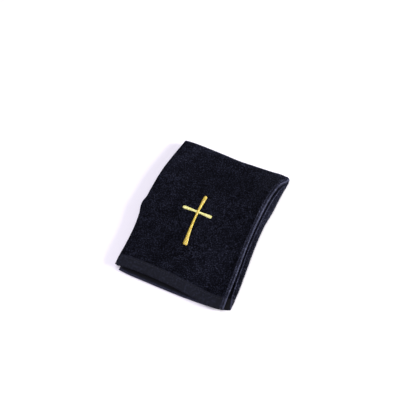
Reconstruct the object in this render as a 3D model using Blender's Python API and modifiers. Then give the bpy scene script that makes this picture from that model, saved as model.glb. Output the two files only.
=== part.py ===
"""Black velour towel, folded in half along its length and again across it, with a gold cross.

The cloth is one sheet with woven hem bands at both short ends. It is folded lengthwise so that
the fold lies on the right (+X), then crosswise so that the second fold lies at the far end (+Y),
which leaves four plies with both hems at the near end (-Y). Its underside lies on z = 0.
The cross is two bars of satin stitch, and the upright passes over the crossbar.
Units are metres, +Z up, with the origin under the middle of the folded towel.
"""

import math

import bmesh
import bpy
import numpy as np

MM = 0.001

# Folded size, and the cloth's thickness in its pile and in its flat woven hem bands.
FOLDED_WIDTH = 0.140
FOLDED_LENGTH = 0.195
PILE_THICKNESS = 0.0024
HEM_THICKNESS = 0.0016
HEM_DEPTH = 0.0130
HEM_STEP = 0.0015

# Air between the upper and lower halves, and how far the soft side folds puff the plies apart.
HALVES_GAP = 0.0008
PUFF_REACH = 0.045
CROSS_FOLD_RADIUS = 0.0057
INNER_LEAF_INSET = 0.0015

# The upper half's strip is placed so that the whole towel, with the lower half showing past it
# at the near end and on the right, is centred over the origin.
LOWER_HEM_REACH = 0.0053
FAR_FOLD_REACH = 0.0020
STRIP_CENTRE = 0.0001
NEAR_END = (LOWER_HEM_REACH - FAR_FOLD_REACH - FOLDED_LENGTH) / 2
FOLD_START = NEAR_END + FOLDED_LENGTH - CROSS_FOLD_RADIUS

# Plan of the two halves, a row for each share of the length from the hems to the cross fold.
# Sides are millimetres from a straight strip, gap is the air between the two plies of a half,
# and puff is what the side fold adds to that air.
PLAN_COLUMNS = ("share", "upper_left", "upper_right", "lower_left", "lower_right", "gap", "puff")
PLAN_ROWS = (
    (0.000, 0.8, 0.3, 6.2, 7.6, 0.45, 0.3),
    (0.125, 0.9, -0.8, 5.6, 7.0, 0.80, 2.0),
    (0.250, -0.4, -2.5, 3.6, 5.1, 0.90, 2.8),
    (0.375, -4.2, -4.8, 1.2, 2.8, 0.95, 3.2),
    (0.440, -7.7, -5.7, 0.2, 1.6, 0.95, 3.3),
    (0.470, -7.9, -6.0, -0.2, 1.2, 0.95, 3.4),
    (0.500, -6.8, -6.3, -0.6, 0.8, 0.95, 3.4),
    (0.560, -7.0, -6.8, -1.0, 0.3, 0.95, 3.4),
    (0.625, -7.1, -7.1, -1.2, 0.0, 0.95, 3.5),
    (0.750, -6.6, -7.2, -0.8, 1.5, 0.90, 3.4),
    (0.875, -3.8, -5.7, -0.6, 1.8, 0.75, 2.4),
    (0.950, -1.7, -3.0, -0.5, 2.3, 0.62, 1.1),
    (1.000, -0.4, 2.9, -0.4, 2.9, 0.50, 0.2),
)

# Millimetres across the towel, and where the edge of each half's hem lies there along y, from the
# near end: a value below zero is nearer.
HEM_EDGE_COLUMNS = ("across", "upper", "lower")
HEM_EDGE_ROWS = (
    (-72.0, -3.0, -3.4),
    (-64.0, -1.6, -4.3),
    (-55.0, -0.6, -5.2),
    (-44.0, 0.0, -5.6),
    (-30.0, 0.2, -5.7),
    (-5.0, -0.4, -5.8),
    (15.0, -1.8, -5.7),
    (30.0, -3.3, -5.2),
    (45.0, -5.0, -4.4),
    (54.0, -5.4, -3.6),
    (62.0, -5.0, -2.6),
    (69.0, -3.8, -0.9),
    (76.0, -3.0, 1.4),
)
# Shares of the length between which that shift fades away.
HEM_SHIFT_FADE = (0.15, 0.60)

# The cross fold's edge: millimetres across the towel, and how far it lies beyond a straight one.
FAR_FOLD_COLUMNS = ("across", "beyond")
FAR_FOLD_ROWS = (
    (-72.0, 0.1),
    (-60.0, 1.0),
    (-30.0, 0.6),
    (-14.0, 0.0),
    (5.0, -0.9),
    (26.0, -0.1),
    (48.0, 0.8),
    (63.0, 1.6),
    (72.0, 0.6),
)

# Soft troughs and ridges in the top ply, in millimetres; a depth below zero is a trough.
CREASE_COLUMNS = ("x", "y", "turn", "half_length", "half_width", "depth")
CREASE_ROWS = (
    (54.0, 8.0, 94.0, 74.0, 5.0, -0.40),
    (-66.0, 33.0, 20.0, 16.0, 7.0, 0.45),
    (-30.0, 61.0, -12.0, 34.0, 10.0, -0.35),
    (22.0, -47.0, 8.0, 40.0, 11.0, 0.35),
    (-46.0, -39.0, 76.0, 36.0, 9.0, -0.35),
)

# Steps of the sheet's grid across a leaf and its fold, and along a half and its fold.
LEAF_STEPS = 14
SIDE_FOLD_STEPS = 6
HALF_STEPS = 18
CROSS_FOLD_STEPS = 8

# Satin bars of the cross: ends in millimetres on the towel, and widths from first end to last.
UPRIGHT_ENDS = ((-3.6, -43.5), (-9.7, 29.2))
UPRIGHT_WIDTHS = (6.2, 5.0, 4.0, 3.2, 2.9, 3.0, 4.0, 5.6)
CROSSBAR_ENDS = ((-28.7, 4.0), (8.6, 4.6))
CROSSBAR_WIDTHS = (5.6, 4.4, 3.2, 2.8, 3.2, 4.4, 5.6)
SATIN_THICKNESS = 0.0009
SATIN_CROWN = 0.0004
SATIN_GAP = 0.00035
CROSSING_REACH = 0.0062
BAR_STEPS = 24
BAR_WIDTH_STEPS = 6
END_BULGE = 0.0008
END_SHARPNESS = 9

PILE_COLOUR = (0.0090, 0.0090, 0.0130)
GOLD_COLOUR = (0.72, 0.46, 0.07)
PALE_GOLD_COLOUR = (0.84, 0.70, 0.24)


def column(columns, rows, name):
    """One column of a table, as a list."""
    place = columns.index(name)
    return [row[place] for row in rows]


def smooth_lookup(position, stops, values):
    """A value read from a smooth curve through a table's rows, flat past its ends."""
    position = min(max(position, stops[0]), stops[-1])
    last = len(stops) - 2
    k = min(max(int(np.searchsorted(stops, position, side="right")) - 1, 0), last)
    slopes = np.gradient(values, stops)
    step = stops[k + 1] - stops[k]
    t = (position - stops[k]) / step
    start = (1 + 2 * t) * (1 - t) ** 2 * values[k] + t * (1 - t) ** 2 * step * slopes[k]
    end = t * t * (3 - 2 * t) * values[k + 1] + t * t * (t - 1) * step * slopes[k + 1]
    return float(start + end)


PLAN = {name: column(PLAN_COLUMNS, PLAN_ROWS, name) for name in PLAN_COLUMNS}
HEM_EDGE = {name: column(HEM_EDGE_COLUMNS, HEM_EDGE_ROWS, name) for name in HEM_EDGE_COLUMNS}
FAR_FOLD = {name: column(FAR_FOLD_COLUMNS, FAR_FOLD_ROWS, name) for name in FAR_FOLD_COLUMNS}


def plan(name, y):
    """A column of the plan at y, in metres."""
    share = (y - NEAR_END) / (FOLD_START - NEAR_END)
    return smooth_lookup(share, PLAN["share"], PLAN[name]) * MM


def smoothstep(low, high, value):
    """Rises softly from 0 at low to 1 at high."""
    t = min(max((value - low) / (high - low), 0.0), 1.0)
    return t * t * (3 - 2 * t)


def hem_shift(half, x, y):
    """How far a half's cloth is shifted along y, so that the lower hem shows past the upper."""
    share = (y - NEAR_END) / FOLDED_LENGTH
    from_centre = (x - STRIP_CENTRE) / MM
    edge = smooth_lookup(from_centre, HEM_EDGE["across"], HEM_EDGE[half]) * MM
    return edge * (1 - smoothstep(*HEM_SHIFT_FADE, share))


def thickness(half, x, y):
    """The cloth's thickness: thin in the hem band, full in the pile."""
    from_edge = y - NEAR_END - hem_shift(half, x, NEAR_END)
    into_pile = smoothstep(HEM_DEPTH - HEM_STEP / 2, HEM_DEPTH + HEM_STEP / 2, from_edge)
    return HEM_THICKNESS + (PILE_THICKNESS - HEM_THICKNESS) * into_pile


def ply_room(half, x, y):
    """The height that a ply takes up in the stack, where the pile holds the hem bands apart."""
    from_edge = y - NEAR_END - hem_shift(half, x, NEAR_END)
    opened = smoothstep(0.0, HEM_DEPTH, from_edge)
    return HEM_THICKNESS + (PILE_THICKNESS - HEM_THICKNESS) * opened


def side_fold_spread(half, x, y):
    """Distance between the middles of a half's two plies at its side fold."""
    return ply_room(half, x, y) + plan("gap", y) + plan("puff", y)


def fold_tangent(half, y):
    """Where a half's plies start to bend round into the side fold."""
    edge = STRIP_CENTRE + FOLDED_WIDTH / 2 + plan(half + "_right", y)
    return edge - (side_fold_spread(half, edge, y) + thickness(half, edge, y)) / 2


def ply_spread(half, x, y):
    """Distance between the middles of a half's two plies at a point of the plan."""
    inward = min(max((fold_tangent(half, y) - x) / PUFF_REACH, 0.0), 1.0)
    puffed = 0.5 * (1 + math.cos(math.pi * inward))
    return ply_room(half, x, y) + plan("gap", y) + plan("puff", y) * puffed


def crease_height(x, y):
    """Rise or fall of the top ply from its soft creases."""
    total = 0.0
    for crease in CREASE_ROWS:
        row = dict(zip(CREASE_COLUMNS, crease))
        turn = math.radians(row["turn"])
        dx = (x - STRIP_CENTRE) / MM - row["x"]
        dy = y / MM - row["y"]
        along = (dx * math.cos(turn) + dy * math.sin(turn)) / row["half_length"]
        across = (dy * math.cos(turn) - dx * math.sin(turn)) / row["half_width"]
        total += row["depth"] * MM * math.exp(-along * along - across * across)
    return total


def inner_leaf_height(half, x, y):
    """Height of the middle of the inner ply, which faces the other half."""
    lower = ply_room("lower", x, y) / 2 + ply_spread("lower", x, y)
    if half == "lower":
        return lower
    between = (ply_room("lower", x, y) + ply_room("upper", x, y)) / 2 + HALVES_GAP
    return lower + between


def outer_leaf_height(half, x, y):
    """Height of the middle of the outer ply, which is the top one or the one on the floor."""
    if half == "lower":
        return thickness("lower", x, y) / 2
    return inner_leaf_height("upper", x, y) + ply_spread("upper", x, y) + crease_height(x, y)


def section_point(half, across, y):
    """Place across the towel and height of a point of a half's U-shaped section.

    across runs 0 to 1 over the outer ply, 1 to 2 round the side fold, 2 to 3 over the inner ply.
    """
    tangent = fold_tangent(half, y)
    left = STRIP_CENTRE - FOLDED_WIDTH / 2 + plan(half + "_left", y)
    if across <= 1:
        x = left + (tangent - left) * across
        return x, outer_leaf_height(half, x, y)
    if across >= 2:
        inner_left = left + INNER_LEAF_INSET
        x = tangent + (inner_left - tangent) * (across - 2)
        return x, inner_leaf_height(half, x, y)
    outer = outer_leaf_height(half, tangent, y)
    inner = inner_leaf_height(half, tangent, y)
    angle = math.pi * (across - 1)
    x = tangent + abs(outer - inner) / 2 * math.sin(angle)
    return x, (outer + inner) / 2 + (outer - inner) / 2 * math.cos(angle)


def sheet_point(across, along):
    """A point of the cloth's middle surface.

    along runs 0 to 1 over the upper half, 1 to 2 round the cross fold, 2 to 3 over the lower half.
    """
    x, _ = section_point("upper", across, FOLD_START)
    from_centre = (x - STRIP_CENTRE) / MM
    beyond = smooth_lookup(from_centre, FAR_FOLD["across"], FAR_FOLD["beyond"]) * MM
    fold = FOLD_START + beyond
    if 1 < along < 2:
        upper_x, upper_z = section_point("upper", across, FOLD_START)
        lower_x, lower_z = section_point("lower", across, FOLD_START)
        angle = math.pi * (along - 1)
        radius = (upper_z - lower_z) / 2
        x = upper_x + (lower_x - upper_x) * (along - 1)
        z = (upper_z + lower_z) / 2 + radius * math.cos(angle)
        return x, fold + radius * math.sin(angle), z
    half = "upper" if along <= 1 else "lower"
    share = along if half == "upper" else 3 - along
    y = NEAR_END + (fold - NEAR_END) * share
    x, _ = section_point(half, across, y)
    y += hem_shift(half, x, y)
    x, z = section_point(half, across, y)
    return x, y, z


def run_stops(first_steps, fold_steps, last_steps):
    """Even stops over the first run, the fold and the last run of the sheet's grid."""
    first = [k / first_steps for k in range(first_steps)]
    fold = [1 + k / fold_steps for k in range(fold_steps)]
    last = [2 + k / last_steps for k in range(last_steps + 1)]
    return first + fold + last


def with_hem_stops(stops):
    """Moves the stops nearest to the hem bands' inner edges onto both sides of the step."""
    half_length = FOLD_START - NEAR_END
    ends = [(HEM_DEPTH - HEM_STEP / 2) / half_length, (HEM_DEPTH + HEM_STEP / 2) / half_length]
    for share, place in ((ends[0], 1), (ends[1], 2)):
        stops[place] = share
        stops[len(stops) - 1 - place] = 3 - share
    return stops


def material(name, colour, roughness, sheen):
    """A plain cloth or thread finish."""
    made = bpy.data.materials.new(name)
    made.use_nodes = True
    shader = made.node_tree.nodes["Principled BSDF"]
    shader.inputs["Base Color"].default_value = (*colour, 1.0)
    shader.inputs["Roughness"].default_value = roughness
    shader.inputs["Metallic"].default_value = 0.0
    shader.inputs["Sheen Weight"].default_value = sheen
    made.diffuse_color = (*colour, 1.0)
    return made


def grid_sheet(name, collection, columns, rows, place):
    """A grid whose points are moved to place(column, row), as an object in the collection."""
    mesh = bpy.data.meshes.new(name)
    bm = bmesh.new()
    bmesh.ops.create_grid(bm, x_segments=len(columns) - 1, y_segments=len(rows) - 1, size=1.0)
    bm.verts.ensure_lookup_table()
    for index, vertex in enumerate(bm.verts):
        row, col = divmod(index, len(columns))
        vertex.co = place(columns[col], rows[row])
    bm.to_mesh(mesh)
    bm.free()
    mesh.shade_smooth()
    sheet = bpy.data.objects.new(name, mesh)
    collection.objects.link(sheet)
    return sheet


def thicken(sheet, amount):
    """Gives the sheet its thickness, half on either side."""
    solid = sheet.modifiers.new("cloth thickness", "SOLIDIFY")
    solid.thickness = amount
    solid.offset = 0.0
    return solid


def towel_cloth(collection):
    """The one-piece cloth, with its hem bands thinner than its pile."""
    across = run_stops(LEAF_STEPS, SIDE_FOLD_STEPS, LEAF_STEPS)
    along = with_hem_stops(run_stops(HALF_STEPS, CROSS_FOLD_STEPS, HALF_STEPS))
    towel = grid_sheet("towel_cloth", collection, across, along, sheet_point)
    full = towel.vertex_groups.new(name="pile")
    for index, vertex in enumerate(towel.data.vertices):
        stop = along[index // len(across)]
        half = "upper" if stop <= 1.5 else "lower"
        share = thickness(half, vertex.co.x, vertex.co.y) / PILE_THICKNESS
        full.add([index], share, "REPLACE")
    solid = thicken(towel, PILE_THICKNESS)
    solid.vertex_group = full.name
    towel.data.materials.append(material("black velour", PILE_COLOUR, 0.9, 0.3))
    return towel


def satin_bar(name, collection, ends, widths, hump_at, colour):
    """A crowned bar of satin stitch that lies on the top ply and widens towards its ends."""
    start = np.array(ends[0]) * MM
    run = np.array(ends[1]) * MM - start
    length = float(np.hypot(*run))
    forward = run / length
    sideways = np.array([-forward[1], forward[0]])
    stops = [k / (len(widths) - 1) for k in range(len(widths))]

    def place(share, side):
        half_width = smooth_lookup(share, stops, list(widths)) * MM / 2
        bulge = END_BULGE * (1 - side * side) * (2 * share - 1) ** END_SHARPNESS
        point = start + run * share + forward * bulge + sideways * side * half_width
        height = outer_leaf_height("upper", *point) + PILE_THICKNESS / 2
        height += SATIN_GAP + SATIN_THICKNESS / 2 + SATIN_CROWN * (1 - side * side)
        if hump_at is not None:
            off = abs(share - hump_at) * length
            rise = SATIN_THICKNESS + SATIN_CROWN + SATIN_GAP
            height += rise * (1 - smoothstep(CROSSING_REACH / 2, CROSSING_REACH, off))
        return point[0], point[1], height

    shares = [k / BAR_STEPS for k in range(BAR_STEPS + 1)]
    sides = [2 * k / BAR_WIDTH_STEPS - 1 for k in range(BAR_WIDTH_STEPS + 1)]
    bar = grid_sheet(name, collection, shares, sides, place)
    thicken(bar, SATIN_THICKNESS)
    bar.data.materials.append(material(name + " rayon", colour, 0.35, 0.0))
    return bar


def crossing_share():
    """Where along the upright the crossbar's line crosses it."""
    foot, top = (np.array(end) for end in UPRIGHT_ENDS)
    left, right = (np.array(end) for end in CROSSBAR_ENDS)
    upright, bar = top - foot, right - left
    normal = np.array([-bar[1], bar[0]])
    return float(np.dot(left - foot, normal) / np.dot(upright, normal))


for leftover in list(bpy.data.objects):
    bpy.data.objects.remove(leftover)

folded_towel = bpy.data.collections.new("folded_towel")
bpy.context.scene.collection.children.link(folded_towel)
towel_cloth(folded_towel)
satin_bar("cross_crossbar", folded_towel, CROSSBAR_ENDS, CROSSBAR_WIDTHS, None, PALE_GOLD_COLOUR)
satin_bar("cross_upright", folded_towel, UPRIGHT_ENDS, UPRIGHT_WIDTHS, crossing_share(), GOLD_COLOUR)
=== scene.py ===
"""A folded black velour hand towel with a satin-stitched gold cross, on a pale floor."""

import math

import bpy
import numpy as np
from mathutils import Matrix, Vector, noise


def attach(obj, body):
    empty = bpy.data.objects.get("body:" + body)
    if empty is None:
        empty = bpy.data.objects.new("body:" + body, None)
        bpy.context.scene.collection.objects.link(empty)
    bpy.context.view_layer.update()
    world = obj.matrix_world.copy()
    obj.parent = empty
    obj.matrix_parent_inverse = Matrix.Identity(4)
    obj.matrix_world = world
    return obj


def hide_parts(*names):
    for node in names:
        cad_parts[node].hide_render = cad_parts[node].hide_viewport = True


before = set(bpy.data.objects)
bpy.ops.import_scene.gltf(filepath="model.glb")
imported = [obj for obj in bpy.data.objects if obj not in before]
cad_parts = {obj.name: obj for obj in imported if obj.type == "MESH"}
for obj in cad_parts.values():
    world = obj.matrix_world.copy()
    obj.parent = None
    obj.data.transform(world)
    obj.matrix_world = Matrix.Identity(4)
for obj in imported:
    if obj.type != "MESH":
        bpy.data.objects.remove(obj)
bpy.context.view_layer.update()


# Towel cloth
# One sheet of cut-pile cotton velour with a flat woven band and hem at each short end. It is folded
# lengthwise with the fold on the right, then crosswise with the fold at the far end, four plies in
# all. The lower half shows past the upper one on the right and at the near end.

MM = 0.001
FOLDED_WIDTH = 0.140
FOLDED_LENGTH = 0.195
PILE_THICKNESS = 0.0024
HEM_THICKNESS = 0.0016
HEM_DEPTH = 0.0130
HEM_STEP = 0.0008
HALVES_GAP = 0.0008
PUFF_REACH = 0.045
CROSS_FOLD_RADIUS = 0.0057
INNER_LEAF_INSET = 0.0015
LOWER_HEM_REACH = 0.0053
FAR_FOLD_REACH = 0.0020
STRIP_CENTRE = 0.0001
NEAR_END = (LOWER_HEM_REACH - FAR_FOLD_REACH - FOLDED_LENGTH) / 2
FOLD_START = NEAR_END + FOLDED_LENGTH - CROSS_FOLD_RADIUS
HALF_LENGTH = FOLD_START - NEAR_END

# A row for each share of the length from the hems to the cross fold: how far, in millimetres, the
# sides of each half stand off a straight strip, and the air that the side fold leaves in a half.
PLAN_COLUMNS = ("share", "upper_left", "upper_right", "lower_left", "lower_right", "gap", "puff")
PLAN_ROWS = (
    (0.000, 0.8, 0.3, 6.2, 7.6, 0.45, 0.3),
    (0.125, 0.9, -0.8, 5.6, 7.0, 0.80, 2.0),
    (0.250, -0.4, -2.5, 3.6, 5.1, 0.90, 2.8),
    (0.375, -4.2, -4.8, 1.2, 2.8, 0.95, 3.2),
    (0.440, -7.7, -5.7, 0.2, 1.6, 0.95, 3.3),
    (0.470, -7.9, -6.0, -0.2, 1.2, 0.95, 3.4),
    (0.500, -6.8, -6.3, -0.6, 0.8, 0.95, 3.4),
    (0.560, -7.0, -6.8, -1.0, 0.3, 0.95, 3.4),
    (0.625, -7.1, -7.1, -1.2, 0.0, 0.95, 3.5),
    (0.750, -6.6, -7.2, -0.8, 1.5, 0.90, 3.4),
    (0.875, -3.8, -5.7, -0.6, 1.8, 0.75, 2.4),
    (0.950, -1.7, -3.0, -0.5, 2.3, 0.62, 1.1),
    (1.000, -0.4, 2.9, -0.4, 2.9, 0.50, 0.2),
)

# Millimetres across the towel, and where the edge of each half's hem lies there along y, from the
# near end: a value below zero is nearer.
HEM_EDGE_COLUMNS = ("across", "upper", "lower")
HEM_EDGE_ROWS = (
    (-72.0, -3.0, -3.4),
    (-64.0, -1.6, -4.3),
    (-55.0, -0.6, -5.2),
    (-44.0, 0.0, -5.6),
    (-30.0, 0.2, -5.7),
    (-5.0, -0.4, -5.8),
    (15.0, -1.8, -5.7),
    (30.0, -3.3, -5.2),
    (45.0, -5.0, -4.4),
    (54.0, -5.4, -3.6),
    (62.0, -5.0, -2.6),
    (69.0, -3.8, -0.9),
    (76.0, -3.0, 1.4),
)
HEM_SHIFT_FADE = (0.15, 0.60)

# Millimetres across the towel, and how far the cross fold lies beyond a straight one there.
FAR_FOLD_ROWS = (
    (-72.0, 0.1),
    (-60.0, 1.0),
    (-30.0, 0.6),
    (-14.0, 0.0),
    (5.0, -0.9),
    (26.0, -0.1),
    (48.0, 0.8),
    (63.0, 1.6),
    (72.0, 0.6),
)

# Soft troughs and ridges of the top ply, in millimetres; a depth below zero is a trough.
CREASE_COLUMNS = ("x", "y", "turn", "half_length", "half_width", "depth")
CREASE_ROWS = (
    (54.0, 8.0, 94.0, 74.0, 5.0, -0.40),
    (-66.0, 33.0, 20.0, 16.0, 7.0, 0.45),
    (-30.0, 61.0, -12.0, 34.0, 10.0, -0.35),
    (22.0, -47.0, 8.0, 40.0, 11.0, 0.35),
    (-46.0, -39.0, 76.0, 36.0, 9.0, -0.35),
)


def read_rows(rows, column, at):
    """One column of a table, read from a smooth curve through its rows."""
    stops = np.array([row[0] for row in rows])
    values = np.array([row[column] for row in rows])
    slopes = np.gradient(values, stops)
    at = np.clip(at, stops[0], stops[-1])
    k = np.clip(np.searchsorted(stops, at, side="right") - 1, 0, len(stops) - 2)
    step = stops[k + 1] - stops[k]
    t = (at - stops[k]) / step
    start = (1 + 2 * t) * (1 - t) ** 2 * values[k] + t * (1 - t) ** 2 * step * slopes[k]
    end = t * t * (3 - 2 * t) * values[k + 1] + t * t * (t - 1) * step * slopes[k + 1]
    return start + end


def smoothstep(low, high, value):
    """Rises softly from 0 at low to 1 at high."""
    t = np.clip((value - low) / (high - low), 0.0, 1.0)
    return t * t * (3 - 2 * t)


def plan(name, y):
    """A column of the plan at y, in metres."""
    return read_rows(PLAN_ROWS, PLAN_COLUMNS.index(name), (y - NEAR_END) / HALF_LENGTH) * MM


def hem_shift(half, x, y):
    """How far a half's cloth is shifted along y, so that the lower hem shows past the upper."""
    column = HEM_EDGE_COLUMNS.index(half)
    edge = read_rows(HEM_EDGE_ROWS, column, (x - STRIP_CENTRE) / MM) * MM
    return edge * (1 - smoothstep(*HEM_SHIFT_FADE, (y - NEAR_END) / FOLDED_LENGTH))


def thickness(half, x, y):
    """The cloth's thickness: thin in the hem band, full in the pile."""
    from_edge = y - NEAR_END - hem_shift(half, x, NEAR_END)
    into_pile = smoothstep(HEM_DEPTH - HEM_STEP / 2, HEM_DEPTH + HEM_STEP / 2, from_edge)
    return HEM_THICKNESS + (PILE_THICKNESS - HEM_THICKNESS) * into_pile


def ply_room(half, x, y):
    """The height that a ply takes up in the stack, where the pile holds the hem bands apart."""
    opened = smoothstep(0.0, HEM_DEPTH, y - NEAR_END - hem_shift(half, x, NEAR_END))
    return HEM_THICKNESS + (PILE_THICKNESS - HEM_THICKNESS) * opened


def fold_tangent(half, y):
    """Where a half's plies start to bend round into the side fold."""
    edge = STRIP_CENTRE + FOLDED_WIDTH / 2 + plan(half + "_right", y)
    spread = ply_room(half, edge, y) + plan("gap", y) + plan("puff", y)
    return edge - (spread + thickness(half, edge, y)) / 2


def ply_spread(half, x, y):
    """Distance between the middles of a half's two plies."""
    inward = np.clip((fold_tangent(half, y) - x) / PUFF_REACH, 0.0, 1.0)
    puffed = 0.5 * (1 + np.cos(np.pi * inward))
    return ply_room(half, x, y) + plan("gap", y) + plan("puff", y) * puffed


def crease_height(x, y):
    """Rise or fall of the top ply from its soft creases."""
    total = 0.0 * x
    for crease in CREASE_ROWS:
        row = dict(zip(CREASE_COLUMNS, crease))
        turn = math.radians(row["turn"])
        dx = (x - STRIP_CENTRE) / MM - row["x"]
        dy = y / MM - row["y"]
        along = (dx * math.cos(turn) + dy * math.sin(turn)) / row["half_length"]
        across = (dy * math.cos(turn) - dx * math.sin(turn)) / row["half_width"]
        total += row["depth"] * MM * np.exp(-along * along - across * across)
    return total


def inner_leaf_height(half, x, y):
    """Height of the middle of the inner ply, which faces the other half."""
    lower = ply_room("lower", x, y) / 2 + ply_spread("lower", x, y)
    if half == "lower":
        return lower
    return lower + (ply_room("lower", x, y) + ply_room("upper", x, y)) / 2 + HALVES_GAP


def outer_leaf_height(half, x, y):
    """Height of the middle of the outer ply, which is the top one or the one on the floor."""
    if half == "lower":
        return thickness("lower", x, y) / 2
    return inner_leaf_height("upper", x, y) + ply_spread("upper", x, y) + crease_height(x, y)


def half_section(half, across, y):
    """Place across the towel and height of points of a half's U-shaped section.

    across runs 0 to 1 over the outer ply, 1 to 2 round the side fold, 2 to 3 over the inner ply.
    """
    tangent = fold_tangent(half, y)
    left = STRIP_CENTRE - FOLDED_WIDTH / 2 + plan(half + "_left", y)
    outer_x = left + (tangent - left) * np.clip(across, 0.0, 1.0)
    inner_x = tangent + (left + INNER_LEAF_INSET - tangent) * np.clip(across - 2, 0.0, 1.0)
    x = np.where(across < 2, outer_x, inner_x)
    outer = outer_leaf_height(half, x, y)
    inner = inner_leaf_height(half, x, y)
    turn = np.pi * np.clip(across - 1, 0.0, 1.0)
    x = x + np.abs(outer - inner) / 2 * np.sin(turn)
    return x, (outer + inner) / 2 + (outer - inner) / 2 * np.cos(turn)


def sheet_points(across, along):
    """Points of the cloth's middle surface.

    along runs 0 to 1 over the upper half, 1 to 2 round the cross fold, 2 to 3 over the lower half.
    """
    fold_x, _ = half_section("upper", across, np.full_like(across, FOLD_START))
    fold_y = FOLD_START + read_rows(FAR_FOLD_ROWS, 1, (fold_x - STRIP_CENTRE) / MM) * MM
    ends = {}
    for half, share in (("upper", along), ("lower", 3 - along)):
        y = NEAR_END + (fold_y - NEAR_END) * np.clip(share, 0.0, 1.0)
        x, _ = half_section(half, across, y)
        y = y + hem_shift(half, x, y)
        x, z = half_section(half, across, y)
        ends[half] = np.stack([x, y, z], axis=1)
    share = np.clip(along - 1, 0.0, 1.0)
    points = ends["upper"] + (ends["lower"] - ends["upper"]) * share[:, None]
    turn = np.pi * share
    radius = (ends["upper"][:, 2] - ends["lower"][:, 2]) / 2
    points[:, 1] += radius * np.sin(turn)
    points[:, 2] = (ends["upper"][:, 2] + ends["lower"][:, 2]) / 2 + radius * np.cos(turn)
    return points


def stops_between(marks, step):
    """Evenly spread stops through all the marks, no further apart than step."""
    stops = [marks[0]]
    for low, high in zip(marks, marks[1:]):
        count = max(1, math.ceil((high - low) / step - 1e-6))
        stops += [low + (high - low) * k / count for k in range(1, count + 1)]
    return np.array(stops)


# Stops over the cloth in metres, close together at its rounded edges and at the pile's border.
EDGE_MARKS = [0.0, 0.00025, 0.0007, 0.0014, 0.0024]
STEP_MARKS = [HEM_DEPTH - 0.0006, HEM_DEPTH - 0.0003, HEM_DEPTH, HEM_DEPTH + 0.0004]
LEAF_WIDTH = FOLDED_WIDTH - 0.0035
SHOWN_STEP = 0.0012
HIDDEN_STEP = 0.0040
SIDE_FOLD_STEPS = 24
NEAR_SIDE_FOLD = 0.0120
CROSS_FOLD_STEPS = 16

shown_leaf = stops_between(EDGE_MARKS + [LEAF_WIDTH], SHOWN_STEP) / LEAF_WIDTH
hidden_leaf = np.concatenate([
    stops_between(EDGE_MARKS + [LEAF_WIDTH - NEAR_SIDE_FOLD], HIDDEN_STEP)[:-1],
    stops_between([LEAF_WIDTH - NEAR_SIDE_FOLD, LEAF_WIDTH], SHOWN_STEP / 2),
]) / LEAF_WIDTH
side_fold = 1 + np.arange(1, SIDE_FOLD_STEPS) / SIDE_FOLD_STEPS
across_stops = np.concatenate([shown_leaf, side_fold, 3 - hidden_leaf[::-1]])
upper_run = stops_between(EDGE_MARKS + STEP_MARKS + [HALF_LENGTH], SHOWN_STEP) / HALF_LENGTH
lower_run = stops_between(EDGE_MARKS + STEP_MARKS + [HALF_LENGTH], HIDDEN_STEP) / HALF_LENGTH
cross_fold = 1 + np.arange(1, CROSS_FOLD_STEPS) / CROSS_FOLD_STEPS
along_stops = np.concatenate([upper_run, cross_fold, 3 - lower_run[::-1]])

bpy.ops.object.select_all(action="DESELECT")
bpy.ops.mesh.primitive_grid_add(
    x_subdivisions=len(across_stops) - 1, y_subdivisions=len(along_stops) - 1, size=1
)
towel = bpy.context.object
towel.name = "velour_towel"


def read_points(piece):
    """The piece's points as an array."""
    points = np.zeros(len(piece.data.vertices) * 3)
    piece.data.vertices.foreach_get("co", points)
    return points.reshape(-1, 3)


def write_points(piece, points):
    """Puts the piece's points in new places."""
    piece.data.vertices.foreach_set("co", points.ravel())
    piece.data.update()


grid_places = read_points(towel)
column = np.rint((grid_places[:, 0] + 0.5) * (len(across_stops) - 1)).astype(int)
row = np.rint((grid_places[:, 1] + 0.5) * (len(along_stops) - 1)).astype(int)
across, along = across_stops[column], along_stops[row]
points = sheet_points(across, along)
write_points(towel, points)

# Where each point lies on the flat cloth, in millimetres from a corner: folds shorten a share of 1
# to the length of their arc.
SIDE_FOLD_ARC = 0.0050
CROSS_FOLD_ARC = 0.0140
flat_across = np.interp(
    across, [0, 1, 2, 3], np.cumsum([0, LEAF_WIDTH, SIDE_FOLD_ARC, LEAF_WIDTH])
)
flat_along = np.interp(
    along, [0, 1, 2, 3], np.cumsum([0, HALF_LENGTH, CROSS_FOLD_ARC, HALF_LENGTH])
)
FLAT_WIDTH = 2 * LEAF_WIDTH + SIDE_FOLD_ARC
FLAT_LENGTH = 2 * HALF_LENGTH + CROSS_FOLD_ARC
flat = np.stack([flat_across, flat_along, 0 * across], axis=1) / MM
attribute = towel.data.attributes.new("flat_mm", "FLOAT_VECTOR", "POINT")
attribute.data.foreach_set("vector", flat.ravel())

# The cloth's edges are round: its thickness shrinks to them over half of itself.
EDGE_RADIUS = 0.0013
EDGE_LEAST = 0.30
from_rim = np.minimum.reduce(
    [flat_across, FLAT_WIDTH - flat_across, flat_along, FLAT_LENGTH - flat_along]
)
roundness = np.sqrt(1 - (1 - np.clip(from_rim / EDGE_RADIUS, 0, 1)) ** 2)
share = np.where(
    along < 1.5,
    thickness("upper", points[:, 0], points[:, 1]),
    thickness("lower", points[:, 0], points[:, 1]),
)
share = share / PILE_THICKNESS * np.maximum(roundness, EDGE_LEAST)
group = towel.vertex_groups.new(name="thickness")
for index, weight in enumerate(share):
    group.add([index], float(weight), "REPLACE")

# Faces of the hem bands take the second material.
hem_end = HEM_DEPTH / MM
far_hem = FLAT_LENGTH / MM - hem_end
for face in towel.data.polygons:
    place = np.mean([flat[v][1] for v in face.vertices])
    face.material_index = int(place < hem_end or place > far_hem)

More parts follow.
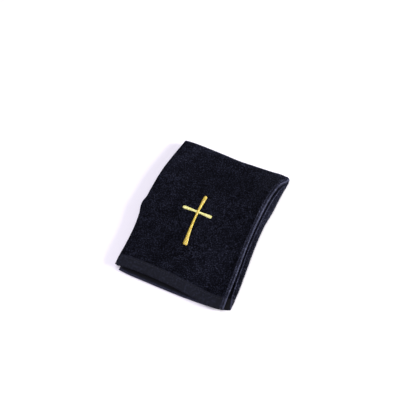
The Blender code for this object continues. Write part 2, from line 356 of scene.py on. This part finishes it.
solid = towel.modifiers.new("thickness", "SOLIDIFY")
solid.thickness = PILE_THICKNESS
solid.offset = 0.0
solid.vertex_group = "thickness"
bpy.ops.object.modifier_apply(modifier="thickness")
bpy.ops.object.shade_smooth()

# The nap is crushed in soft patches, which stand under a tenth of a millimetre proud. Along the upper
# half's side fold a fine ridge runs at the inner side of a band, and the lower half stands up beside
# that fold in a soft bead. All in metres. The band itself has no relief: it is only painted lighter
# below, as painted sheen.
NAP_DEPTH = 0.00006
NAP_SIZE = 0.0045
NAP_BORDER_MM = 1.0
FACES_UP = (0.0, 0.3)
SHEEN_BAND_WIDTH = 0.0044
SHEEN_BAND_SOFTNESS = 0.0004
RIDGE_INTO = 0.0038
RIDGE_HALF_WIDTH = 0.0005
RIDGE_HEIGHT = 0.0004
BEAD_HALF_WIDTH = 0.0007
BEAD_HEIGHT = 0.0005

# Share of the length from the hems, and how far out from the upper fold's edge the bead lies, in mm.
BEAD_ROWS = ((0.00, 7.4), (0.04, 5.4), (0.08, 3.8), (0.13, 2.9), (0.20, 2.5), (1.00, 2.4))

# How much lighter or darker, from -1 to 1, the nap is painted where light and shade fall on the folds:
# painted sheen on the band by the side fold and on the outer shelf, painted highlights on the ridge,
# the fold's edge and the bead, painted shade in the crease trough inside the band and in the open gap
# between the halves near the hems, and painted light on the lower hem's strip, which the upper half
# shades. Also the places and half widths in metres of the two painted lines that nothing above gives.
SHEEN_BAND_PAINTED = 0.09
RIDGE_PAINTED_HIGHLIGHT = 0.34
FOLD_EDGE_INTO = 0.0006
FOLD_EDGE_HALF_WIDTH = 0.0008
FOLD_EDGE_PAINTED_HIGHLIGHT = 0.46
TROUGH_INTO = 0.0080
TROUGH_HALF_WIDTH = 0.0030
TROUGH_PAINTED_SHADE = -0.14
BEAD_PAINTED_HIGHLIGHT = 0.64
OUTER_SHELF_FROM = 0.001
OUTER_SHELF_SHARES = (0.3, 0.8)
OUTER_SHELF_PAINTED_SHEEN = 0.16
OPEN_GAP_SHARE = 0.16
OPEN_GAP_PAINTED_SHADE = -0.60
LOWER_HEM_FADE = (0.0005, 0.0040)
LOWER_HEM_PAINTED_LIGHT = 0.90

# Soft areas painted lighter or darker: the first two and the last two rows are painted sheen on the
# slope at the far left, along the cross fold and down the right side; the others make broad areas of
# the top lighter or darker. Places and sizes in millimetres, and how much lighter.
SHEEN_AND_TONE_COLUMNS = ("x", "y", "turn", "half_length", "half_width", "painted_light_and_tone")
SHEEN_AND_TONE_ROWS = (
    (-60.0, 70.0, 62.0, 34.0, 8.0, 0.11),
    (-10.0, 96.0, 0.0, 70.0, 5.0, 0.10),
    (-22.0, -44.0, 78.0, 40.0, 13.0, -0.10),
    (20.0, 62.0, 10.0, 60.0, 22.0, -0.06),
    (34.0, -48.0, 80.0, 38.0, 17.0, 0.09),
    (4.0, 4.0, 70.0, 26.0, 16.0, 0.07),
    (65.0, 50.0, 86.0, 36.0, 4.0, 0.13),
    (66.0, 92.0, -18.0, 12.0, 5.0, 0.15),
)


def soft_line(distance, half_width):
    """Falls softly from 1 on a line to nearly 0 two half widths away."""
    return np.exp(-((distance / half_width) ** 2))


points = read_points(towel)
normals = np.array([vertex.normal for vertex in towel.data.vertices])
flat_now = np.zeros(len(points) * 3)
towel.data.attributes["flat_mm"].data.foreach_get("vector", flat_now)
flat_now = flat_now.reshape(-1, 3)
in_pile = smoothstep(hem_end, hem_end + NAP_BORDER_MM, flat_now[:, 1])
in_pile *= smoothstep(hem_end, hem_end + NAP_BORDER_MM, FLAT_LENGTH / MM - flat_now[:, 1])
patches = np.array([noise.noise(Vector(p) / NAP_SIZE) for p in points])
relief = NAP_DEPTH * patches * in_pile

side_share = (points[:, 1] - NEAR_END) / HALF_LENGTH
from_fold = points[:, 0] - STRIP_CENTRE - FOLDED_WIDTH / 2 - plan("upper_right", points[:, 1])
in_upper = flat_now[:, 1] < (HALF_LENGTH + CROSS_FOLD_ARC / 2) / MM
in_outer_leaf = flat_now[:, 0] < (LEAF_WIDTH + SIDE_FOLD_ARC / 2) / MM
faces_up = smoothstep(*FACES_UP, normals[:, 2])
top = in_upper * in_outer_leaf * faces_up
shelf = (1 - in_upper) * (1 - in_outer_leaf) * faces_up
relief += RIDGE_HEIGHT * top * soft_line(from_fold + RIDGE_INTO, RIDGE_HALF_WIDTH)
bead_out = read_rows(BEAD_ROWS, 1, side_share) * MM
relief += BEAD_HEIGHT * shelf * soft_line(from_fold - bead_out, BEAD_HALF_WIDTH)

points += normals * relief[:, None]
points[:, 2] = np.maximum(points[:, 2], 0.0)
write_points(towel, points)

# Painted sheen on a band beside the upper half's side fold, and painted highlights on the ridge, on
# the fold's edge and on the lower half's bead, where the low light from the right falls on them.
sheen_band = smoothstep(-SHEEN_BAND_SOFTNESS, SHEEN_BAND_SOFTNESS, from_fold + SHEEN_BAND_WIDTH)
painted_light_and_tone = SHEEN_BAND_PAINTED * top * sheen_band
painted_light_and_tone += RIDGE_PAINTED_HIGHLIGHT * top * soft_line(from_fold + RIDGE_INTO, RIDGE_HALF_WIDTH)
painted_light_and_tone += FOLD_EDGE_PAINTED_HIGHLIGHT * top * soft_line(from_fold + FOLD_EDGE_INTO, FOLD_EDGE_HALF_WIDTH)
# Painted shade in the crease trough inside the band.
painted_light_and_tone += TROUGH_PAINTED_SHADE * top * soft_line(from_fold + TROUGH_INTO, TROUGH_HALF_WIDTH)
painted_light_and_tone += BEAD_PAINTED_HIGHLIGHT * shelf * soft_line(from_fold - bead_out, BEAD_HALF_WIDTH)
# Painted sheen on the lower half's shelf outside the bead, stronger towards the far end.
outer_shelf = shelf * (from_fold > bead_out + OUTER_SHELF_FROM)
painted_light_and_tone += OUTER_SHELF_PAINTED_SHEEN * outer_shelf * smoothstep(*OUTER_SHELF_SHARES, side_share)
# Painted shade in the open gap between the halves near the hems.
gap_shade_mask = shelf * (from_fold < bead_out - BEAD_HALF_WIDTH) * (side_share < OPEN_GAP_SHARE)
painted_light_and_tone += OPEN_GAP_PAINTED_SHADE * gap_shade_mask
# Painted light on the lower hem's strip, strongest at its edge, where the upper half shades it.
from_lower_hem = points[:, 1] - NEAR_END - hem_shift("lower", points[:, 0], NEAR_END)
lower_hem = (1 - in_upper) * (from_fold < 0) * (normals[:, 2] > -FACES_UP[1])
painted_light_and_tone += LOWER_HEM_PAINTED_LIGHT * lower_hem * (1 - smoothstep(*LOWER_HEM_FADE, from_lower_hem))
# The soft areas from the table: painted sheen in some, broad lighter or darker areas in the others.
for area in SHEEN_AND_TONE_ROWS:
    row = dict(zip(SHEEN_AND_TONE_COLUMNS, area))
    turn = math.radians(row["turn"])
    dx, dy = points[:, 0] / MM - row["x"], points[:, 1] / MM - row["y"]
    along_area = (dx * math.cos(turn) + dy * math.sin(turn)) / row["half_length"]
    across_area = (dy * math.cos(turn) - dx * math.sin(turn)) / row["half_width"]
    painted_light_and_tone += row["painted_light_and_tone"] * np.exp(-along_area ** 2 - across_area ** 2)
# All of this painted light and shade, with the soft areas, goes to the cloth as one attribute that
# lightens or darkens its colour.
attribute = towel.data.attributes.new("nap_tone_and_painted_light", "FLOAT", "POINT")
attribute.data.foreach_set("value", painted_light_and_tone)


def linear(code):
    """The linear colour of an sRGB hex value."""
    channels = [int(code[k:k + 2], 16) / 255 for k in (1, 3, 5)]
    bent = [c / 12.92 if c <= 0.04045 else ((c + 0.055) / 1.055) ** 2.4 for c in channels]
    return (*bent, 1.0)


def finish_named(name):
    """A new material with its shader and its node tree."""
    made = bpy.data.materials.new(name)
    made.use_nodes = True
    return made, made.node_tree, made.node_tree.nodes["Principled BSDF"]


def add(tree, kind, settings=(), **feeds):
    """Adds a node with its settings and the outputs that feed its inputs, spaces as underscores."""
    node = tree.nodes.new(kind)
    for name, value in dict(settings).items():
        if isinstance(name, int) or name in node.inputs:
            node.inputs[name].default_value = value
        else:
            setattr(node, name, value)
    for name, source in feeds.items():
        tree.links.new(source, node.inputs[name.replace("_", " ")])
    return node


# Black cotton velour: dyed cut pile, which takes up nearly all light that falls straight into it
# and shows a blue-grey bloom where it is seen along the fibres. Its tufts are about 0.6 mm apart.
# They are drawn 0.9 mm apart and their shades 1.5 mm apart, as coarse as they need to be to show.
FIBRE_MM = 0.9
TUFT_MM = 1.5
PATCH_MM = 9.0
TUFTS_TO_PATCHES = 5.0

velour, tree, shader = finish_named("black cotton velour")
shader.inputs["Roughness"].default_value = 1.0
shader.inputs["Specular IOR Level"].default_value = 0.03
shader.inputs["Sheen Weight"].default_value = 0.18
shader.inputs["Sheen Roughness"].default_value = 0.34
shader.inputs["Sheen Tint"].default_value = linear("#d0d8ff")
place = add(tree, "ShaderNodeTexCoord")
in_mm = add(
    tree, "ShaderNodeVectorMath", {"operation": "SCALE", "Scale": 1 / MM},
    Vector=place.outputs["Object"],
)
tufts = add(
    tree, "ShaderNodeTexNoise", {"Scale": 1 / TUFT_MM, "Detail": 2.0, "Roughness": 0.7},
    Vector=in_mm.outputs[0],
)
patches = add(
    tree, "ShaderNodeTexNoise", {"Scale": 1 / PATCH_MM, "Detail": 2.0, "Roughness": 0.5},
    Vector=in_mm.outputs[0],
)
mixed = add(
    tree, "ShaderNodeMath", {"operation": "MULTIPLY_ADD", 1: TUFTS_TO_PATCHES},
    Value=tufts.outputs["Fac"],
)
tree.links.new(patches.outputs["Fac"], mixed.inputs[2])
spread = add(
    tree, "ShaderNodeMapRange", {"From Min": 2.86, "From Max": 3.70, "To Max": 0.54},
    Value=mixed.outputs[0],
)
# The attribute's painted light and shade lifts the speckled colour towards the pale top of the ramp,
# or lowers it towards black.
nap_tone_and_painted_light = add(tree, "ShaderNodeAttribute", {"attribute_name": "nap_tone_and_painted_light"})
unpainted_share = add(tree, "ShaderNodeMath", {"operation": "SUBTRACT", 0: 1.0})
tree.links.new(nap_tone_and_painted_light.outputs["Fac"], unpainted_share.inputs[1])
lifted = add(tree, "ShaderNodeMath", {"operation": "MULTIPLY_ADD"}, Value=spread.outputs[0])
tree.links.new(unpainted_share.outputs[0], lifted.inputs[1])
tree.links.new(nap_tone_and_painted_light.outputs["Fac"], lifted.inputs[2])
shade = add(tree, "ShaderNodeValToRGB", {}, Fac=lifted.outputs[0])
shade.color_ramp.elements[0].position = 0.0
shade.color_ramp.elements[0].color = linear("#010103")
shade.color_ramp.elements[1].position = 1.0
shade.color_ramp.elements[1].color = linear("#5c5f76")
middle = shade.color_ramp.elements.new(0.5)
middle.color = linear("#191b26")
tree.links.new(shade.outputs["Color"], shader.inputs["Base Color"])
fibres = add(
    tree, "ShaderNodeTexNoise", {"Scale": 1 / FIBRE_MM, "Detail": 3.0, "Roughness": 0.7},
    Vector=in_mm.outputs[0],
)
bump = add(tree, "ShaderNodeBump", {"Strength": 1.0, "Distance": 0.0007}, Height=fibres.outputs["Fac"])
tree.links.new(bump.outputs["Normal"], shader.inputs["Normal"])

# The woven band has no pile: flat black cotton in a fine plain weave, a little greyer than the
# pile. Its threads are 0.3 mm apart, and are drawn 0.9 mm apart so that they show close to. A wave
# texture of scale 1 repeats each 0.314 of a unit.
WEAVE_MM = 0.9
WAVE_PERIOD = 0.314
SLUB_MM = 2.5

woven, tree, shader = finish_named("black cotton plain weave")
shader.inputs["Roughness"].default_value = 0.80
shader.inputs["Specular IOR Level"].default_value = 0.12
shader.inputs["Sheen Weight"].default_value = 0.07
shader.inputs["Sheen Roughness"].default_value = 0.4
shader.inputs["Sheen Tint"].default_value = linear("#d8d8ff")
flat_place = add(tree, "ShaderNodeAttribute", {"attribute_name": "flat_mm"})
warp = add(
    tree, "ShaderNodeTexWave",
    {"bands_direction": "X", "Scale": WAVE_PERIOD / WEAVE_MM, "Distortion": 0.3},
    Vector=flat_place.outputs["Vector"],
)
weft = add(
    tree, "ShaderNodeTexWave",
    {"bands_direction": "Y", "Scale": WAVE_PERIOD / WEAVE_MM, "Distortion": 0.3},
    Vector=flat_place.outputs["Vector"],
)
threads = add(tree, "ShaderNodeMath", {"operation": "ADD"}, Value=warp.outputs["Fac"])
tree.links.new(weft.outputs["Fac"], threads.inputs[1])
slubs = add(
    tree, "ShaderNodeTexNoise", {"Scale": 1 / SLUB_MM, "Detail": 3.0},
    Vector=flat_place.outputs["Vector"],
)
# The same attribute carries the painted light on the lower hem's strip into the band's colour.
nap_tone_and_painted_light = add(tree, "ShaderNodeAttribute", {"attribute_name": "nap_tone_and_painted_light"})
lifted = add(tree, "ShaderNodeMath", {"operation": "ADD"}, Value=slubs.outputs["Fac"])
tree.links.new(nap_tone_and_painted_light.outputs["Fac"], lifted.inputs[1])
shade = add(tree, "ShaderNodeValToRGB", {}, Fac=lifted.outputs[0])
shade.color_ramp.elements[0].position = 0.0
shade.color_ramp.elements[0].color = linear("#050508")
shade.color_ramp.elements[1].position = 1.0
shade.color_ramp.elements[1].color = linear("#292b3c")
middle = shade.color_ramp.elements.new(0.5)
middle.color = linear("#0d0f18")
tree.links.new(shade.outputs["Color"], shader.inputs["Base Color"])
bump = add(tree, "ShaderNodeBump", {"Strength": 0.4, "Distance": 0.00015}, Height=threads.outputs[0])
tree.links.new(bump.outputs["Normal"], shader.inputs["Normal"])

towel.data.materials.append(velour)
towel.data.materials.append(woven)
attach(towel, "root")
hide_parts("towel_cloth")


# Embroidered cross
# Two columns of satin stitch in gold rayon thread, sewn through the top ply over a soft underlay.
# The crossbar is sewn first and the upright over it. Each stitch is one strand from side to side,
# and its ends sink into the pile.

STRAND_RADIUS = 0.00021
STITCH_PITCH = 0.00036
STITCH_POINTS = 9
CROWN_HEIGHT = 0.0011
END_SINK = 0.0007
END_ROUND = 0.0028
END_BLUNT = 0.0003
CROSSING_REACH = 0.0058
CROSSING_RISE = 0.0007
WIDEST_COLUMN = 0.006
STRAY_STITCH = 0.00011

# The bars' ends on the cloth, their widths from end to end and how far the middle of each bows to
# its left, in millimetres, and whether it humps over the other bar.
BAR_COLUMNS = ("name", "node", "start", "end", "widths", "bow", "hump")
BAR_ROWS = (
    ("satin_crossbar", "cross_crossbar", (-29.2, 4.5), (8.8, 4.4),
     (4.8, 4.4, 3.6, 3.1, 3.3, 4.3, 5.0), 0.3, False),
    ("satin_upright", "cross_upright", (-4.3, -43.5), (-9.8, 29.2),
     (6.4, 4.6, 3.6, 2.9, 2.8, 2.9, 3.9, 4.8), 2.0, True),
)
bars = {row[0]: dict(zip(BAR_COLUMNS, row)) for row in BAR_ROWS}


def crossing_share(upright, crossbar):
    """Where along the upright the crossbar's line crosses it."""
    foot = np.array(upright["start"])
    run = np.array(upright["end"]) - foot
    left = np.array(crossbar["start"])
    bar = np.array(crossbar["end"]) - left
    normal = np.array([-bar[1], bar[0]])
    return float(np.dot(left - foot, normal) / np.dot(run, normal))


def satin_column(bar, hump_at, draws):
    """One column of satin stitch, a strand for each stitch, as one mesh."""
    start = np.array(bar["start"]) * MM
    run = np.array(bar["end"]) * MM - start
    length = float(np.hypot(*run))
    bow = bar["bow"] * MM
    forward = run / length
    sideways = np.array([-forward[1], forward[0]])
    stops = np.linspace(0, 1, len(bar["widths"]))
    width_rows = list(zip(stops, bar["widths"]))
    count = round(length / STITCH_PITCH)
    curve = bpy.data.curves.new(bar["name"], "CURVE")
    curve.dimensions = "3D"
    curve.bevel_depth = STRAND_RADIUS
    curve.bevel_resolution = 1
    curve.use_fill_caps = True
    for stitch in range(count):
        share = (stitch + 0.5) / count
        half_width = float(read_rows(width_rows, 1, share)) * MM / 2
        from_end = min(share, 1 - share) * length
        half_width *= math.sqrt(1 - (1 - min(1, (from_end + END_BLUNT) / END_ROUND)) ** 2)
        half_width += draws.normal(0, STRAY_STITCH)
        spline = curve.splines.new("POLY")
        spline.points.add(STITCH_POINTS - 1)
        for k in range(STITCH_POINTS):
            side = 2 * k / (STITCH_POINTS - 1) - 1
            slant = side * STITCH_PITCH / 2
            place = start + forward * (share * length + slant)
            place = place + sideways * (side * half_width + bow * math.sin(math.pi * share))
            top = float(outer_leaf_height("upper", *place)) + PILE_THICKNESS / 2
            arch = math.sqrt(max(0.0, 1 - side * side))
            crown = CROWN_HEIGHT * arch * (0.5 + half_width / WIDEST_COLUMN)
            height = top - END_SINK * (1 - arch) + crown
            if hump_at is not None:
                off = abs(share - hump_at) * length
                fall = smoothstep(CROSSING_REACH / 3, CROSSING_REACH, off)
                height += CROSSING_RISE * float(1 - fall) * arch
            spline.points[k].co = (place[0], place[1], height, 1.0)
    column = bpy.data.objects.new(bar["name"], curve)
    bpy.context.scene.collection.objects.link(column)
    bpy.ops.object.select_all(action="DESELECT")
    column.select_set(True)
    bpy.context.view_layer.objects.active = column
    bpy.ops.object.convert(target="MESH")
    column = bpy.context.object
    bpy.ops.object.shade_smooth()
    return column


def gold_thread(name, dull, bright):
    """Rayon embroidery thread: a bright filament with a long highlight along each strand.

    Its shade wanders a little along the column, from the dull colour to the bright one.
    """
    made, tree, shader = finish_named(name)
    shader.inputs["Roughness"].default_value = 0.28
    shader.inputs["Specular IOR Level"].default_value = 1.0
    place = add(tree, "ShaderNodeTexCoord")
    in_mm = add(
        tree, "ShaderNodeVectorMath", {"operation": "SCALE", "Scale": 1 / MM},
        Vector=place.outputs["Object"],
    )
    wear = add(tree, "ShaderNodeTexNoise", {"Scale": 0.9, "Detail": 3.0}, Vector=in_mm.outputs[0])
    shade = add(tree, "ShaderNodeValToRGB", {}, Fac=wear.outputs["Fac"])
    shade.color_ramp.elements[0].position = 0.41
    shade.color_ramp.elements[0].color = linear(dull)
    shade.color_ramp.elements[1].position = 0.59
    shade.color_ramp.elements[1].color = linear(bright)
    tree.links.new(shade.outputs["Color"], shader.inputs["Base Color"])
    return made


# The crossbar's strands lie along the light and shine. That shine is painted: the crossbar gets a
# lighter gold than the upright's, a lit copy of the same thread.
thread_finishes = {
    "satin_crossbar": gold_thread("gold rayon thread with painted sheen", "#c2bd6a", "#eceba2"),
    "satin_upright": gold_thread("gold rayon thread", "#a08116", "#dcca58"),
}

draws = np.random.default_rng(7)
hump = crossing_share(bars["satin_upright"], bars["satin_crossbar"])
for name, bar in bars.items():
    column = satin_column(bar, hump if bar["hump"] else None, draws)
    column.data.materials.clear()
    column.data.materials.append(thread_finishes[name])
    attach(column, "root")
    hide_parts(bar["node"])


# Hem stitching
# A row of lockstitches in black cotton thread that holds the turned hem down across the band of the
# top ply. Each stitch is a short strand that dips into the cloth at both ends.
LOCKSTITCH_LENGTH = 0.0023
LOCKSTITCH_PITCH = 0.0030
THREAD_RADIUS = 0.00020
THREAD_RISE = 0.00012
THREAD_DIP = 0.00030
STITCHING_FROM_EDGE = 0.0105
STITCHING_FROM_SIDES = 0.0030
STRAY_ALONG = 0.00008
STRAY_ACROSS = 0.00007
STRAND_STOPS = (-1.0, -0.6, 0.0, 0.6, 1.0)

stitching_start = STRIP_CENTRE - FOLDED_WIDTH / 2 + float(plan("upper_left", NEAR_END))
stitching_start += STITCHING_FROM_SIDES
stitching_end = float(fold_tangent("upper", NEAR_END)) - STITCHING_FROM_SIDES / 2
stitching = bpy.data.curves.new("hem_stitching", "CURVE")
stitching.dimensions = "3D"
stitching.bevel_depth = THREAD_RADIUS
stitching.bevel_resolution = 1
stitching.use_fill_caps = True
for stitch in range(int((stitching_end - stitching_start) / LOCKSTITCH_PITCH)):
    middle_x = stitching_start + (stitch + 0.5) * LOCKSTITCH_PITCH + draws.normal(0, STRAY_ALONG)
    stray = draws.normal(0, STRAY_ACROSS)
    spline = stitching.splines.new("POLY")
    spline.points.add(len(STRAND_STOPS) - 1)
    for k, along_stitch in enumerate(STRAND_STOPS):
        x = middle_x + along_stitch * LOCKSTITCH_LENGTH / 2
        y = NEAR_END + float(hem_shift("upper", x, NEAR_END)) + STITCHING_FROM_EDGE + stray
        surface = float(outer_leaf_height("upper", x, y) + thickness("upper", x, y) / 2)
        height = surface + THREAD_RISE - (THREAD_RISE + THREAD_DIP) * along_stitch ** 4
        spline.points[k].co = (x, y, height, 1.0)
hem_stitching = bpy.data.objects.new("hem_stitching", stitching)
bpy.context.scene.collection.objects.link(hem_stitching)
bpy.ops.object.select_all(action="DESELECT")
hem_stitching.select_set(True)
bpy.context.view_layer.objects.active = hem_stitching
bpy.ops.object.convert(target="MESH")
hem_stitching = bpy.context.object
bpy.ops.object.shade_smooth()

# Black cotton sewing thread: a matt twisted thread, a little smoother than the weave under it.
black_thread, tree, shader = finish_named("black cotton thread")
shader.inputs["Base Color"].default_value = linear("#15171f")
shader.inputs["Roughness"].default_value = 0.55
shader.inputs["Specular IOR Level"].default_value = 0.25
hem_stitching.data.materials.clear()
hem_stitching.data.materials.append(black_thread)
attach(hem_stitching, "root")


# Floor
# A sheet of matt white paper under the towel, laid flat and so wide that its edges are out of view.
# It lies a hair below the cloth.
FLOOR_SIZE = 8
FLOOR_DROP = 0.0003

bpy.ops.object.select_all(action="DESELECT")
bpy.ops.mesh.primitive_plane_add(size=FLOOR_SIZE, location=(0, 0, -FLOOR_DROP))
floor = bpy.context.object
floor.name = "floor"
paper, tree, shader = finish_named("matt white paper")
shader.inputs["Base Color"].default_value = linear("#f4f3f6")
shader.inputs["Roughness"].default_value = 0.9
shader.inputs["Specular IOR Level"].default_value = 0.0
floor.data.materials.append(paper)


# Lights
# A dim white room and three square soft lights: a broad one overhead, a weak one in front of the
# hems, and one low on the right that rakes the pile and leaves a pale shadow on the left.
world = bpy.data.worlds.new("white room")
bpy.context.scene.world = world
world.use_nodes = True
background = world.node_tree.nodes["Background"]
background.inputs["Color"].default_value = linear("#f6f3ff")
background.inputs["Strength"].default_value = 0.30


def soft_light(name, azimuth, elevation, distance, size, power, colour):
    """A square area light that looks at the towel from a direction, in degrees."""
    lamp = bpy.data.lights.new(name, "AREA")
    lamp.size = size
    lamp.energy = power
    lamp.color = linear(colour)[:3]
    light = bpy.data.objects.new(name, lamp)
    turn, rise = math.radians(azimuth), math.radians(elevation)
    way = Vector((math.cos(turn) * math.cos(rise), math.sin(turn) * math.cos(rise), math.sin(rise)))
    light.location = way * distance
    light.rotation_euler = way.to_track_quat("Z", "Y").to_euler()
    bpy.context.scene.collection.objects.link(light)


soft_light("overhead", 215, 78, 1.3, 1.0, 12.5, "#f9f4ff")
soft_light("front", 262, 28, 1.6, 1.0, 8, "#f9f4ff")
soft_light("low right", 15, 19, 1.6, 0.9, 49, "#fffdfa")


# Camera
# Level, from the near right and well above, at the photo's angle to the towel. Its lens and distance
# give the towel the photo's size and slight perspective.
CAMERA_AZIMUTH = math.radians(24.6)
CAMERA_ELEVATION = math.radians(57.65)
CAMERA_DISTANCE = 1.103
PIXELS_PER_METRE = 812.9
FRAME_PIXELS = 415
AIM = Vector((-0.0049, 0.0225, 0.0))

camera = bpy.data.cameras.new("camera")
camera.sensor_width = 36
camera.lens = PIXELS_PER_METRE * CAMERA_DISTANCE / FRAME_PIXELS * camera.sensor_width
viewer = bpy.data.objects.new("camera", camera)
back = Vector((
    math.sin(CAMERA_AZIMUTH) * math.cos(CAMERA_ELEVATION),
    -math.cos(CAMERA_AZIMUTH) * math.cos(CAMERA_ELEVATION),
    math.sin(CAMERA_ELEVATION),
))
viewer.location = AIM + back * CAMERA_DISTANCE
viewer.rotation_euler = back.to_track_quat("Z", "Y").to_euler()
bpy.context.scene.collection.objects.link(viewer)
bpy.context.scene.camera = viewer
bpy.context.scene.view_settings.view_transform = "Standard"
